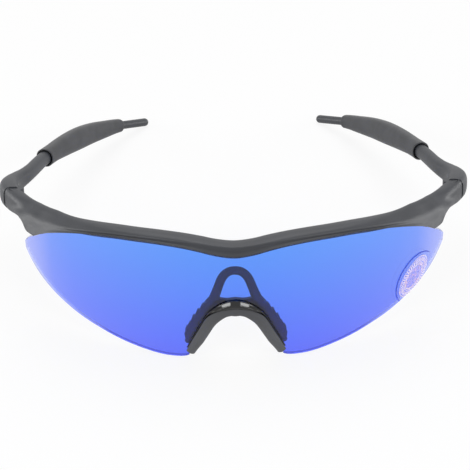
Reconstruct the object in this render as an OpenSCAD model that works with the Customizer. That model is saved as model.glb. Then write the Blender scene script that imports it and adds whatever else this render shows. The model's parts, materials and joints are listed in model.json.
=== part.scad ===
// Golf ball finder glasses: one blue wrap-round shield in a half frame, with two folding arms.
// Everything is drawn as worn: X to the wearer's left, Y to the back, Z up, millimetres.
// The last step, stand(), lays the glasses on the shield's lower edge and the tips of the arms.

/* [Shield lens] */
// Radius of the shield's outer face, seen from above
lens_plan_r = 74; // [71:0.5:78]
// Radius of the shield's outer face, seen from the side
lens_rise_r = 110; // [95:5:160]
// Lean of the shield, its top forward, in degrees
lens_tilt = 10; // [7:0.5:12]
// Thickness of the shield
lens_t = 2.0; // [1.6:0.1:2.4]
// Half of the angle that the shield wraps round, in degrees
lens_wrap = 56.6; // [56:0.1:57.4]
// Height of the shield's upper edge over its middle line, at its highest
lens_brow = 16.3; // [15.3:0.1:17.3]
// Depth of the shield's lower edge under its middle line, at its lowest
lens_drop = 23.6; // [22:0.1:25]

/* [Brow bar] */
// Depth of the bar behind the shield's outer face
bar_depth = 4.9; // [4.3:0.1:5.8]
// Thickness of the lip in front of the shield
bar_lip_t = 0.9; // [0.7:0.1:1.3]
// Height of the bar over the shield's visible edge, in the middle
bar_rise = 3.2; // [2.8:0.1:4]
// How far the shield's edge reaches into the bar's groove
groove_bite = 1.2; // [0.9:0.1:1.5]
// Clearance round the shield in every groove
groove_gap = 0.1; // [0.06:0.02:0.16]

/* [Hinge] */
// Distance from the middle plane to the hinge axis
hinge_x = 64.7; // [63:0.25:66]
// Distance of the hinge axis behind the shield's foremost line
hinge_y = 43.5; // [42:0.25:45]
// Height of the hinge's middle over the shield's middle line
hinge_z = 13.9; // [13:0.1:14.6]
// Radius of the hinge knuckles
knuckle_r = 2.2; // [2:0.1:2.5]
// Height of the bar's tongue between the arm's ears
tongue_h = 2.8; // [2.2:0.1:3.2]
// Thickness of each ear of the arm
ear_h = 1.7; // [1.5:0.1:1.9]
// Diameter of the hinge screw
screw_d = 1.6; // [1.4:0.1:1.8]
// Diameter of the hinge screw's head
screw_head_d = 2.8; // [2.5:0.1:3.1]
// Running clearance round the hinge screw
screw_fit = 0.05; // [0.03:0.01:0.08]
// Clearance between the tongue, the ears and their pockets
hinge_play = 0.15; // [0.1:0.01:0.25]

/* [Arms] */
// Width of the joint face between bar and arm
joint_w = 5.4; // [5:0.1:6.2]
// Height of the joint face between bar and arm
joint_h = 7.2; // [6.9:0.1:8]
// Length of an arm from its hinge to the root of its tip rod, front to back
arm_l = 86; // [80:1:94]
// How far the arm has come in at the root of its tip rod
arm_tuck = 24.8; // [21:0.2:28]
// How far the arm has dropped at the root of its tip rod
arm_fall = 7.5; // [6:0.1:9]
// Diameter of the rod at the end of the arm
rod_d = 2.8; // [2.4:0.1:3.1]
// Length of the rod past the rubber sock
rod_l = 14.5; // [10:0.5:16]

/* [Rubber socks] */
// Where the sock starts, behind the hinge
sock_start = 36.5; // [33:0.5:40]
// Width of the sock at its widest
sock_w = 6.2; // [5.6:0.1:7]
// Height of the sock at its tallest
sock_h = 7.4; // [7:0.1:9]
// Clearance between the sock and the stem inside it
sock_gap = 0.12; // [0.08:0.02:0.2]

/* [Nosepiece] */
// Half of the nosepiece's width at the ends of its legs
nose_w = 14.3; // [13:0.1:15]
// Height of the nosepiece's outline from crown to leg ends
nose_h = 18.4; // [17:0.1:18.6]
// How far the crown lies under the shield's middle line
nose_top = 0.8; // [0.4:0.1:1.4]
// Wall of the hard bracket on the shield's edge
bracket_t = 0.45; // [0.35:0.05:0.6]
// Depth of the soft pads behind the shield's outer face
pad_depth = 8.6; // [7.5:0.1:10]
// Thickness of the soft pads
pad_t = 2.0; // [1.6:0.1:2.4]
// Height of the soft loop over the shield's middle line
loop_top = 8.9; // [8:0.1:9.5]
// Width of the loop's strap
loop_w = 2.6; // [2:0.1:3]

/* [Label] */
// Radius of the round clear label on the shield
label_r = 8.6; // [6:0.1:9]
// Thickness of the label
label_t = 0.14; // [0.1:0.02:0.2]

/* [Hidden] */

nylon = [0.32, 0.32, 0.34];
rubber = [0.29, 0.29, 0.30];
gloss_black = [0.05, 0.05, 0.06];
mirror_blue = [0.40, 0.58, 1.0];
steel = [0.7, 0.7, 0.72];
film = [0.85, 0.88, 0.95];

// Lines along the shield: plan angle in degrees, then a share of the height named beside it.
// Share of lens_brow, the edge where the shield meets the bar or is free outside it
edge_line = [[-4, 0.868], [0, 0.83], [4, 0.868], [8, 0.937], [12, 0.983], [17, 1], [22, 0.985],
    [28, 0.94], [34, 0.848], [40, 0.713], [46, 0.52], [50, 0.325], [53, 0.177], [55.4, 0.054],
    [56.7, -0.06]];
// Share of lens_drop, from the corner beside the nosepiece to the outer tip
lower_line = [[9.9, 0.885], [10.7, 0.943], [12.2, 0.982], [15, 1], [18, 0.996], [22.5, 0.958],
    [28, 0.895], [33, 0.82], [38.5, 0.735], [44, 0.624], [48, 0.53], [51.8, 0.41], [54.8, 0.274],
    [56.8, 0.155]];
// Millimetres from the visible edge up to the bar's crest, then up to the crease in its front
crest_line = [[-5, bar_rise - 0.25, bar_rise - 0.55], [0, bar_rise, bar_rise - 0.2],
    [5, bar_rise - 0.25, bar_rise - 0.55], [12, bar_rise - 0.7, bar_rise - 1.6],
    [20, bar_rise - 0.95, bar_rise - 2], [28, 2.25, 1.15], [34, 2.55, 1.3], [40, 3.35, 2.2],
    [45, 4.9, 3.7], [50, 7.5, 6], [54, 9.8, 8.6]];
// Height of the bar's crest and crease outside the fin, and of its underside
end_line = [[50, 12.8, 11.3, 5.3], [54, 11.8, 10.4, 4.7], [54.9, 11.6, 10.1, 6.9], [57, 11.2, 9.6, 7.0],
    [61, 10.6, 8.6, 5.6], [65, 9.8, 7.2, 4.2]];

fin_angle = 51;
// Plan angles between which the bar's section turns from a plain lip to the grooved, deeper end
end_from = 38;
end_to = 54;
end_deep = 0.7;
plain_from = 55;
plain_to = 60;
// How far the bar's rear wall hangs under its visible edge, in the middle and at the ends
rear_hang = 1.7;
rear_hang_end = 0.5;
hang_from = 30;
hang_to = 46;
// Plan angles between which the crest passes from one table to the other
swap_from = 50;
swap_to = 54;
joint_p = 3;
hinge_inset = 1.4;
joint_x = hinge_x - hinge_inset + joint_w / 2;
seam = hinge_play;
ring_n = 16;

function lerp(a, b, t) = a + (b - a) * t;
function ease(a, b, x) = let (t = max(0, min(1, (x - a) / (b - a)))) t * t * (3 - 2 * t);
function unit(v) = v / norm(v);

// Smooth line through rows of [place, values], read at place x
function row_before(p, x, i = 0) = i >= len(p) - 2 || x < p[i + 1][0] ? i : row_before(p, x, i + 1);
function row_slope(p, i) =
    let (lo = max(0, i - 1), hi = min(len(p) - 1, i + 1))
    (p[hi] - p[lo]) / (p[hi][0] - p[lo][0]);
function along(p, x) =
    let (i = row_before(p, x), w = p[i + 1][0] - p[i][0], t = (x - p[i][0]) / w)
    p[i] * (2 * t ^ 3 - 3 * t ^ 2 + 1) + p[i + 1] * (3 * t ^ 2 - 2 * t ^ 3)
    + row_slope(p, i) * w * (t ^ 3 - 2 * t ^ 2 + t) + row_slope(p, i + 1) * w * (t ^ 3 - t ^ 2);

// Point on the shield: plan angle a, height h over the middle line, depth d behind the outer face
function plan_r(h) = lens_plan_r - lens_rise_r + sqrt(lens_rise_r ^ 2 - h ^ 2);
function shield(a, h, d) =
    let (up = h / lens_rise_r, out = sqrt(1 - up * up), r = plan_r(h) - d * out, hh = h - d * up,
         y = lens_plan_r - r * cos(a))
    [r * sin(a), y * cos(lens_tilt) - hh * sin(lens_tilt), y * sin(lens_tilt) + hh * cos(lens_tilt)];
function shield_x(x, h, d) = shield(asin(x / plan_r(h)), h, d);

function edge_h(a) = lens_brow * along(edge_line, abs(a))[1];
function hold(a) = 1 - ease(45, fin_angle, abs(a));
function lens_top_h(a) = edge_h(a) + groove_bite * hold(a);
function lens_low_h(a) = -lens_drop * along(lower_line, abs(a))[1];

// Faces of a solid whose rings of n points follow each other, m rings, with both ends closed
function ladder(n, o, flip) = [for (i = [0 : n / 2 - 2])
    let (a = o + i, b = o + i + 1, c = o + n - 2 - i, d = o + n - 1 - i)
    each (flip ? [[a, c, b], [a, d, c]] : [[a, b, c], [a, c, d]])];
function skin(n, m, o = 0, flip = false) = [for (j = [0 : m - 2]) for (i = [0 : n - 1])
    let (a = o + j * n + i, b = o + j * n + (i + 1) % n, c = b + n, d = a + n)
    each (flip ? [[a, c, b], [a, d, c]] : [[a, b, c], [a, c, d]])];

module loft(rings) {
    n = len(rings[0]);
    m = len(rings);
    polyhedron([for (r = rings) each r],
        concat(ladder(n, 0, true), skin(n, m), ladder(n, (m - 1) * n, false)));
}

// Closed tube: rings of an outer wall and of an inner wall, joined at both ends
module sleeve(outer, inner) {
    n = len(outer[0]);
    m = len(outer);
    polyhedron(concat([for (r = outer) each r], [for (r = inner) each r]),
        concat(skin(n, m), skin(n, m, n * m, true),
            [for (i = [0 : n - 1]) let (k = (i + 1) % n, o = n * m, e = (m - 1) * n)
                each [[i, o + i, o + k], [i, o + k, k],
                    [e + i, e + k, o + e + k], [e + i, o + e + k, o + e + i]]]));
}

// Rounded outline of half sizes w and h at angle q, more square as p grows
function oval(w, h, q, p) =
    [w * sign(cos(q)) * abs(cos(q)) ^ (2 / p), h * sign(sin(q)) * abs(sin(q)) ^ (2 / p)];

// Flips a ring to the other side of the middle plane
function flipped(ring) = [for (p = ring) [-p.x, p.y, p.z]];

// Shield lens

notch_n = 22;
function notch_columns() = [for (k = [0 : notch_n]) let (s = k / notch_n, p = nose_at(s, notch_q(s)))
    [asin(p[0] / plan_r(p[1])), p[1]]];
corner_turn = 2.7;
function outer_columns() =
    let (a0 = notch_columns()[notch_n][0] + 0.35)
    [for (a = concat([for (k = [0 : 3]) a0 + corner_turn * k / 3],
        [for (k = [1 : 17]) lerp(a0 + corner_turn, fin_angle, k / 17)],
        [for (k = [1 : 4]) lerp(fin_angle, lens_wrap, k / 4)])) [a, lens_low_h(a)]];

module lens() {
    half = concat(notch_columns(), outer_columns());
    columns = concat([for (k = [len(half) - 1 : -1 : 1]) [-half[k][0], half[k][1]]], half);
    rows = [0 : 1 / 6 : 1];
    rings = [for (c = columns) concat(
        [for (k = rows) shield(c[0], lerp(c[1], lens_top_h(c[0]), k), 0)],
        [for (k = rows) shield(c[0], lerp(lens_top_h(c[0]), c[1], k), lens_t)])];
    color(mirror_blue) loft(rings);
}

// Brow bar

// Heights of the bar's underside, crest and crease at plan angle a, inside and outside the fin
function bar_levels(a) =
    let (e = edge_h(a), c = along(crest_line, min(a, swap_to)), o = along(end_line, max(a, swap_from)),
         k = ease(swap_from, swap_to, a))
    [a > swap_from ? o[3] : e, lerp(e + c[1], o[1], k), lerp(e + c[2], o[2], k)];

// Cross-section of the bar at plan angle a: lip, crease, crest, back, groove
function bar_ring(a) =
    let (v = bar_levels(a), low = v[0], top = v[1], crease = v[2], end = ease(end_from, end_to, a),
         rear = low - lerp(rear_hang, rear_hang_end, ease(hang_from, hang_to, a)), lip = groove_gap + bar_lip_t,
         depth = bar_depth + end_deep * end * (1 - ease(plain_from, plain_to, a)), deep = lens_t + groove_gap,
         roof = low + groove_bite * hold(a) + groove_gap * (2 - hold(a)))
    [for (q = [
        [-lip + 0.35 - 1.15 * end, low],
        [-lip - 0.05 - 0.7 * end, lerp(low, crease, 0.4)],
        [-lip - 0.1 + 0.65 * end, crease],
        [-lip + 0.3 - 0.65 * end, lerp(crease, top, 0.5)],
        [0.3 + 0.8 * end, lerp(crease, top, 0.86)],
        [2.2 + end, top],
        [depth - 0.9, top - 0.35],
        [depth, top - 1.2],
        [depth, lerp(rear, top - 1.2, 0.35)],
        [depth - 0.7, rear],
        [deep, rear + 0.1 * hold(a)],
        [deep, roof],
        [-groove_gap, roof],
        [-groove_gap, low]]) shield(a, q[1], q[0])];

joint_angles = [-52, -28, -6, 20, 46, 84, 118, 146, 178, 218, 240, 258, 276, 298];
function joint_ring(y) = [for (q = joint_angles) let (p = oval(joint_w / 2, joint_h / 2, q, joint_p))
    [joint_x + p[0], y, hinge_z + p[1]]];

function bar_half() = concat(
    [for (a = [0 : 2 : 48]) bar_ring(a)],
    [for (a = [50, 51.5, 53, 54.2, 54.9, 56]) bar_ring(a)],
    [for (k = [1 : 6]) let (t = k / 6, q = bar_ring(min(lerp(56, 66, t), 65)), e = joint_ring(hinge_y))
        [for (i = [0 : len(e) - 1]) lerp(q[i], e[i], ease(0, 1, t))]]);

// Pocket or knuckle on the hinge axis between heights z0 and z1 about the hinge's middle
module on_axis(r, z0, z1) {
    translate([hinge_x, hinge_y, hinge_z + z0]) cylinder(r = r, h = z1 - z0, $fn = 48);
}

module both_sides() {
    children();
    mirror([1, 0, 0]) children();
}

ear_in = tongue_h / 2 + hinge_play;
ear_out = ear_in + ear_h;

module brow_frame() {
    half = bar_half();
    rings = concat([for (k = [len(half) - 1 : -1 : 1]) flipped(half[k])], half);
    color(nylon) difference() {
        union() {
            difference() {
                loft(rings);
                both_sides() {
                    on_axis(knuckle_r + hinge_play, tongue_h / 2, joint_h);
                    on_axis(knuckle_r + hinge_play, -joint_h, -tongue_h / 2);
                }
            }
            both_sides() on_axis(knuckle_r, -tongue_h / 2, tongue_h / 2);
        }
        both_sides() on_axis(screw_d / 2 + screw_fit, -joint_h, joint_h);
    }
}

// Arms: rows of distance behind the hinge, then out, up, half width and half height

arm_line = [
    [seam, joint_x - hinge_x, 0, joint_w / 2, joint_h / 2],
    [3.5, 2.5, 0, 3.0, 3.6],
    [7.5, 3.2, -0.1, 2.95, 3.5],
    [11.5, 2.9, -0.3, 2.7, 3.2],
    [15.5, 1.7, -0.4, 2.45, 2.75],
    [19.5, 0.0, -0.4, 2.25, 2.4],
    [24.4, -1.5, -0.5, 2.15, 2.25],
    [29.5, -2.7, -0.6, 2.15, 2.25],
    [35, -4.0, -0.8, 2.15, 2.2],
    [0.526 * arm_l, -0.29 * arm_tuck, -0.2 * arm_fall, 1.9, 2.1],
    [0.667 * arm_l, -0.456 * arm_tuck, -0.373 * arm_fall, 1.7, 1.9],
    [0.802 * arm_l, -0.641 * arm_tuck, -0.587 * arm_fall, 1.5, 1.7],
    [0.919 * arm_l, -0.839 * arm_tuck, -0.827 * arm_fall, 1.3, 1.4],
    [arm_l, -arm_tuck, -arm_fall, rod_d / 2 - 0.1, rod_d / 2 - 0.1],
    [1.145 * arm_l, -1.41 * arm_tuck, -1.4 * arm_fall, rod_d / 2 - 0.1, rod_d / 2 - 0.1]];

function arm_row(v) = along(arm_line, v);
function arm_point(v) = let (r = arm_row(v)) [hinge_x + r[1], hinge_y + v, hinge_z + r[2]];
function arm_way(v) = v < 0.5 ? [0, 1, 0] : unit(arm_point(v + 0.4) - arm_point(v - 0.4));

// Ring round the arm's line at v, of half sizes w and h
function arm_ring(v, w, h, p) =
    let (c = arm_point(v), t = arm_way(v), side = unit([t.y, -t.x, 0]), up = cross(side, t))
    [for (i = [0 : ring_n - 1]) let (q = oval(w, h, 360 * i / ring_n, p)) c + side * q[0] + up * q[1]];
function stem_ring(v, grow = 0) = let (r = arm_row(v))
    arm_ring(v, r[3] + grow, r[4] + grow, lerp(joint_p, 2.1, ease(0, sock_start, v)));

// The rod leaves the sock as a short neck, then runs straight and round to a ball end
sock_over = 0.6;
sock_end = arm_l + sock_over;
neck_l = 0.3;
rod_way = unit(arm_point(arm_l * 1.1) - arm_point(arm_l));
rod_from = arm_point(arm_l) + rod_way * (sock_over / rod_way.y + neck_l);
tip = rod_from + rod_way * (rod_l - neck_l);

module tip_rod() {
    l = norm(tip - rod_from) - rod_d / 2;
    translate(rod_from) rotate([0, acos(rod_way.z), atan2(rod_way.y, rod_way.x)])
        rotate_extrude($fn = 48) union() {
            square([rod_d / 2, l]);
            translate([0, l]) intersection() {
                circle(rod_d / 2, $fn = 48);
                square(rod_d / 2);
            }
        }
}

module temple() {
    stations = concat([seam, 1.5, 3], [for (v = [5 : 2 : 29]) v],
        [for (k = [0 : 14]) lerp(32, arm_l + 2, k / 14)]);
    difference() {
        union() {
            difference() {
                loft([for (v = stations) stem_ring(v)]);
                on_axis(knuckle_r + hinge_play, -ear_in, ear_in);
            }
            on_axis(knuckle_r, ear_in, ear_out);
            on_axis(knuckle_r, -ear_out, -ear_in);
            tip_rod();
        }
        on_axis(screw_d / 2 + screw_fit, -joint_h, ear_out - 0.5);
        on_axis(screw_head_d / 2 + screw_fit, -joint_h, head_z + screw_fit);
    }
}

module temple_left() color(nylon) temple();
module temple_right() color(nylon) mirror([1, 0, 0]) temple();

// Hinge screw, put in from below with its head sunk in the lower ear

head_h = 0.8;
head_z = -ear_out + head_h + 0.15;

module hinge_screw() {
    difference() {
        union() {
            on_axis(screw_d / 2, head_z - 0.1, ear_out - 0.6);
            on_axis(screw_head_d / 2, head_z - head_h, head_z);
        }
        translate([hinge_x - screw_head_d, hinge_y - 0.2, hinge_z + head_z - head_h - 1])
            cube([2 * screw_head_d, 0.4, 1.35]);
    }
}

module hinge_screw_left() color(steel) hinge_screw();
module hinge_screw_right() color(steel) mirror([1, 0, 0]) hinge_screw();

// Rubber sock on an arm: swells behind its mouth, then tapers to the rod

// Rows of place along the sock, share of sock_w, share of sock_h
sock_line = [[0, 0.9, 0.69], [0.12, 0.93, 0.78], [0.3, 0.98, 0.92], [0.5, 1, 1], [0.7, 0.92, 0.92],
    [0.87, 0.8, 0.76], [0.96, 0.74, 0.66], [1.001, 0.71, 0.61]];
sock_wall = 0.75;

module ear_sock() {
    spots = [0, 0.025, 0.07, 0.14, 0.22, 0.3, 0.38, 0.46, 0.54, 0.62, 0.7, 0.78, 0.85, 0.91, 0.96, 1];
    rows = [for (t = spots)
        let (v = lerp(sock_start, sock_end, t), r = arm_row(v), s = along(sock_line, t))
        [v, max(sock_w * s[1] / 2, r[3] + sock_wall), max(sock_h * s[2] / 2, r[4] + sock_wall),
            t < 0.02 ? 0.35 : 0]];
    sleeve([for (r = rows) arm_ring(r[0], r[1], r[2], 2.3)],
        [for (r = rows) stem_ring(r[0], sock_gap + r[3])]);
}

module ear_sock_left() color(rubber) ear_sock();
module ear_sock_right() color(rubber) mirror([1, 0, 0]) ear_sock();

// Nosepiece: its outline runs from the crown at s = 0 to a leg end at s = 1
// Rows of s, share of nose_w out, share of nose_h down, width of the strip

nose_line = [[-0.12, -0.1, 0.006, 5.15], [0, 0, 0, 5.2], [0.12, 0.1, 0.006, 5.15],
    [0.25, 0.22, 0.036, 4.9], [0.38, 0.37, 0.11, 4.45], [0.5, 0.52, 0.225, 4.05],
    [0.62, 0.63, 0.36, 3.7], [0.78, 0.76, 0.577, 3.5], [0.89, 0.87, 0.76, 3.45], [1.001, 1, 1, 3.3]];
function nose_spot(s) = let (r = along(nose_line, s)) [nose_w * r[1], -nose_top - nose_h * r[2]];
function nose_strip(s) = along(nose_line, s)[3];
// Point q inside the outline, as [x, h] on the shield
function nose_at(s, q) =
    let (t = unit(nose_spot(s + 0.02) - nose_spot(s - 0.02))) nose_spot(s) + q * [t.y, -t.x];
function nose_point(s, q, d) =
    let (p = nose_at(abs(s), q), w = shield_x(p[0], p[1], d)) [s < 0 ? -w.x : w.x, w.y, w.z];
// Distance from the outline in to the shield's own edge
function notch_q(s) = 0.36 * nose_strip(s);
function crown(s) = 1 - ease(0.36, 0.56, abs(s));
// The bracket swells forward under the crown, where the soft front band leaves it bare
function swell(s) = 1 - ease(0.3, 0.5, abs(s));
// How far inside the outline the soft front band starts
band_from = 0.3;
function cover(s) = lerp(band_from, notch_q(abs(s)) + groove_gap + bracket_t + 0.13,
    1 - ease(0.22, 0.62, abs(s)));

nose_steps = 22;
leg_end = 0.985;
rear_0 = lens_t + groove_gap;
rear_1 = rear_0 + bracket_t;
wing_0 = rear_1 + 0.1;
wing_1 = wing_0 + 1.1;

// Bracket section: an open channel on the shield's edge, its front rounded under the crown
bulge = 0.85;
function bracket_ring(s) =
    let (flat = -groove_gap - 0.8 * bracket_t, front = flat - bulge * swell(s),
         q0 = notch_q(abs(s)) + groove_gap, q1 = q0 + bracket_t, rear = lerp(0.2, 0.7, crown(s)),
         step = min(cover(s) - 0.08, q1), under = min(step, q0 - 0.05))
    [for (p = [[0, -groove_gap], [0.16 * under, -groove_gap], [0.45 * under, -groove_gap],
        [0.75 * under, -groove_gap], [under, -groove_gap], [q0, -groove_gap], [q0, rear_0],
        [rear, rear_0], [rear, rear_1], [q1, rear_1], [q1, flat], [min(step + 0.04, q1 - 0.04), flat],
        [0.75 * step, lerp(flat, front, 0.9)], [0.45 * step, front],
        [0.16 * step, lerp(flat, front, 0.7)], [0, lerp(flat, front, 0.2)]])
        nose_point(s, p[0], p[1])];

module nose_bracket() {
    color(gloss_black)
        loft([for (k = [-nose_steps : nose_steps]) bracket_ring(leg_end * k / nose_steps)]);
}

// How far the wing behind the shield reaches past the outline, with small steps down the legs
wing_line = [[-0.12, -0.65], [0, -0.6], [0.12, -0.65], [0.25, -0.25], [0.38, 1.6], [0.5, 2.05],
    [0.62, 2.2], [0.78, 2.55], [0.89, 2.6], [1.001, 0.8]];
wing_in = 0.2;
wing_step = 0.3;

function pad_ring(s, step) =
    let (a = abs(s), w = nose_strip(a), c = crown(s), q0 = notch_q(a) + groove_gap + bracket_t + 0.08,
         start = cover(a), face = -lerp(1.15, 0.8, c), back = -0.58, tail = ease(0.86, 1, a),
         wing = wing_in - along(wing_line, a)[1] - wing_step * (1 - step) * (1 - c),
         lean = lerp(0.27, 0.22, c), deep = pad_depth * lerp(1, 0.62, c) - 1.6 * tail,
         inner = w - 0.45 * tail,
         q_in = function(d) inner - lean * max(0, d - 1.5) - (d > wing_1 ? 0.04 * (d - wing_1) ^ 2 : 0))
    [for (p = [
        [lerp(start, inner, 0.5), face - 0.45 + 0.2 * c], [start, face], [start, back],
        [q0, back + 0.1], [q0, wing_0], [wing, wing_0], [wing + 0.15, wing_1],
        [q_in(wing_1 + 0.9) - pad_t, wing_1 + 0.9],
        [q_in(deep) - pad_t * 0.75, deep - 0.3], [q_in(deep) - pad_t * 0.2, deep],
        [q_in(wing_1 + 1.2), wing_1 + 1.2], [q_in(wing_1 + 0.1), wing_1 + 0.1],
        [q_in(wing_0 + 0.6), wing_0 + 0.6], [q_in(wing_0 + 0.15), wing_0 + 0.15],
        [inner, 0.7], [inner - 0.05, face + 0.3], [inner - 0.35, face - 0.1],
        [lerp(start, inner, 0.75), face - 0.35 + 0.15 * c]]) nose_point(s, p[0], p[1])];

// Loop of the soft piece, standing up behind the shield
// Rows of place, share of nose_w out, millimetres down from the loop's top, share of loop_w
loop_line = [[-0.2, -0.112, 0.31, 1], [0, 0, 0, 1], [0.2, 0.112, 0.31, 1], [0.36, 0.205, 1.3, 1],
    [0.5, 0.273, 2.8, 1], [0.68, 0.34, 5.4, 1], [0.88, 0.413, 8.6, 1.1], [1.02, 0.47, 11.0, 1.3],
    [1.16, 0.53, 13.2, 1.3]];
function loop_spot(s) =
    let (r = along(loop_line, s)) [nose_w * r[1], loop_top - loop_w / 2 - r[2]];
function loop_ring(s) =
    let (a = abs(s), c = loop_spot(a), t = unit(loop_spot(a + 0.02) - loop_spot(a - 0.02)),
         n = [-t.y, t.x], half = loop_w * along(loop_line, a)[3] / 2,
         d0 = wing_0 + 0.12, d1 = wing_1 - 0.12)
    [for (p = [[-half + 0.3, d0], [half - 0.3, d0], [half, d0 + 0.2], [half, d1 - 0.25],
        [half - 0.35, d1], [-half + 0.35, d1], [-half, d1 - 0.25], [-half, d0 + 0.2]])
        let (x = c + n * p[0], w = shield_x(x[0], x[1], p[1])) [s < 0 ? -w.x : w.x, w.y, w.z]];

module nose_pad() {
    color(rubber) union() {
        loft([for (k = [-nose_steps : nose_steps]) pad_ring(k / nose_steps, abs(k) % 2)]);
        loft([for (k = [-11 : 11]) loop_ring(1.12 * k / 11)]);
    }
}

// Round label of clear film on the shield's outer face

label_a = 46;
label_h = -9.9;
label_n = 28;
label_lift = 0.06;

// Point of the label at angle q and radius r, as [plan angle, height]
function label_spot(q, r) =
    [label_a + r * cos(q) / plan_r(label_h) * 180 / PI, label_h + r * sin(q)];
// The label is trimmed where it would come near the shield's lower edge
label_rim = 0.5;
function label_reach(q, lo, hi, n = 12) = let (mid = (lo + hi) / 2, p = label_spot(q, mid))
    n == 0 ? lo
    : p[1] > lens_low_h(p[0]) + label_rim ? label_reach(q, mid, hi, n - 1)
    : label_reach(q, lo, mid, n - 1);

module lens_label() {
    shares = [0.1, 0.4, 0.7, 1];
    points = [for (d = [-label_lift - label_t, -label_lift]) for (share = shares)
        for (i = [0 : label_n - 1])
            let (q = 360 * i / label_n, p = label_spot(q, share * label_reach(q, 0, label_r)))
            shield(p[0], p[1], d)];
    n = label_n;
    m = len(shares);
    rim = (m - 1) * n;
    color(film) polyhedron(points, concat(skin(n, m), skin(n, m, m * n, true),
        [for (i = [1 : n - 2]) [0, i + 1, i]],
        [for (i = [1 : n - 2]) [m * n, m * n + i, m * n + i + 1]],
        [for (i = [0 : n - 1]) let (k = (i + 1) % n, o = m * n)
            each [[rim + i, o + rim + k, o + rim + i], [rim + i, rim + k, o + rim + k]]]));
}

// Standing angle: the shield's lower edge and the round ends of the arms on one level

function turned(p, a) = [p.x, p.y * cos(a) + p.z * sin(a), p.z * cos(a) - p.y * sin(a)];
function shield_low(a) =
    min([for (q = [10 : 1 : 30]) for (d = [0, lens_t]) turned(shield(q, lens_low_h(q), d), a).z]);
function tip_low(a) = turned(tip - rod_way * rod_d / 2, a).z - rod_d / 2;
function level(lo, hi, n = 24) = let (mid = (lo + hi) / 2)
    n == 0 ? mid : tip_low(mid) > shield_low(mid) ? level(mid, hi, n - 1) : level(lo, mid, n - 1);
stand_a = level(0, 25);
front_rings = concat(bar_half(), [for (k = [0 : nose_steps]) bracket_ring(leg_end * k / nose_steps)],
    [for (k = [0 : nose_steps]) pad_ring(k / nose_steps, k % 2)]);
front_y = min([for (r = front_rings) for (p = r) turned(p, stand_a).y]);
back_y = turned(tip - rod_way * rod_d / 2, stand_a).y + rod_d / 2;
middle_y = (front_y + back_y) / 2;

module stand() {
    translate([0, -middle_y, -shield_low(stand_a)]) rotate([-stand_a, 0, 0]) children();
}

stand() brow_frame();
stand() lens();
stand() nose_bracket();
stand() nose_pad();
stand() lens_label();
stand() temple_left();
stand() temple_right();
stand() ear_sock_left();
stand() ear_sock_right();
stand() hinge_screw_left();
stand() hinge_screw_right();
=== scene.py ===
# Golf ball finder glasses: one blue shield in a dark half frame, lying on its lower edge and arm tips.
import json
import math
import bmesh
import bpy
import numpy as np
from mathutils import Matrix


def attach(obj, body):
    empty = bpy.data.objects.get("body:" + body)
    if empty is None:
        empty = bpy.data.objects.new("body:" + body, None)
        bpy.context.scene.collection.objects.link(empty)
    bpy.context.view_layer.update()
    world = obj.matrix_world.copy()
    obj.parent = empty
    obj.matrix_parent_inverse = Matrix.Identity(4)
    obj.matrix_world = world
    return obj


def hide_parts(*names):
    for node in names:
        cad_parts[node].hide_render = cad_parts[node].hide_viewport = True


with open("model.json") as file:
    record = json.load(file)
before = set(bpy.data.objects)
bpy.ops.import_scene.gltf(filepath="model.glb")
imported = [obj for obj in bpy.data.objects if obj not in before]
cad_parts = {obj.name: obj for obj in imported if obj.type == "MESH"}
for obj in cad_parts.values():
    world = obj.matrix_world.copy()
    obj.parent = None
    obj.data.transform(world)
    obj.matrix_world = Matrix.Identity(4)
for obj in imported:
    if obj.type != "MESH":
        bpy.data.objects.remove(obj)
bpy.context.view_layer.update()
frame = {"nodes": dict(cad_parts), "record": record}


# Section: Shield lens
# One injection-moulded polycarbonate shield, 2 mm thick, tinted blue right through and hard
# coated. It is curved like a piece of a ball's skin, and snaps into a groove under the brow bar.

# Millimetres as worn, and plan angles in degrees from the shield's middle
LENS_PLAN_R = 74.0
LENS_RISE_R = 110.0
LENS_TILT = math.radians(10)
LENS_T = 2.0
LENS_WRAP = 56.6
LENS_BROW = 16.3
LENS_DROP = 23.6
GROOVE_BITE = 1.2
GROOVE_GAP = 0.1
FIN_ANGLE = 51.0
RIM = 0.35

# Plan angle, then share of LENS_BROW over the middle line, and of LENS_DROP under it
EDGE_LINE = [(-4, 0.868), (0, 0.83), (4, 0.868), (8, 0.937), (12, 0.983), (17, 1), (22, 0.985),
             (28, 0.94), (34, 0.848), (40, 0.713), (46, 0.52), (50, 0.325), (53, 0.177),
             (55.4, 0.054), (56.7, -0.06)]
LOWER_LINE = [(9.9, 0.885), (10.7, 0.943), (12.2, 0.982), (15, 1), (18, 0.996), (22.5, 0.958),
              (28, 0.895), (33, 0.82), (38.5, 0.735), (44, 0.624), (48, 0.53), (51.8, 0.41),
              (54.8, 0.274), (56.8, 0.155)]


def mix(a, b, t):
    return a + (b - a) * t


def ease(a, b, x):
    t = np.clip((x - a) / (b - a), 0, 1)
    return t * t * (3 - 2 * t)


def bend(start, end, leave, arrive, t):
    """Point at share t of a smooth curve from start to end, with its directions at both."""
    return (start * (2 * t ** 3 - 3 * t ** 2 + 1) + end * (3 * t ** 2 - 2 * t ** 3)
            + leave * (t ** 3 - 2 * t ** 2 + t) + arrive * (t ** 3 - t ** 2))


def along(rows, x):
    """Smooth line through rows of (place, values), read at the places x."""
    rows = np.array(rows, float)
    x = np.asarray(x, float)
    count = len(rows)
    low, high = np.maximum(np.arange(count) - 1, 0), np.minimum(np.arange(count) + 1, count - 1)
    slope = (rows[high] - rows[low]) / (rows[high, :1] - rows[low, :1])
    i = np.clip(np.searchsorted(rows[:, 0], x, side="right") - 1, 0, count - 2)
    width = (rows[i + 1, 0] - rows[i, 0])[..., None]
    t = (x - rows[i, 0])[..., None] / width
    return bend(rows[i], rows[i + 1], slope[i] * width, slope[i + 1] * width, t)[..., 1:]


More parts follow.
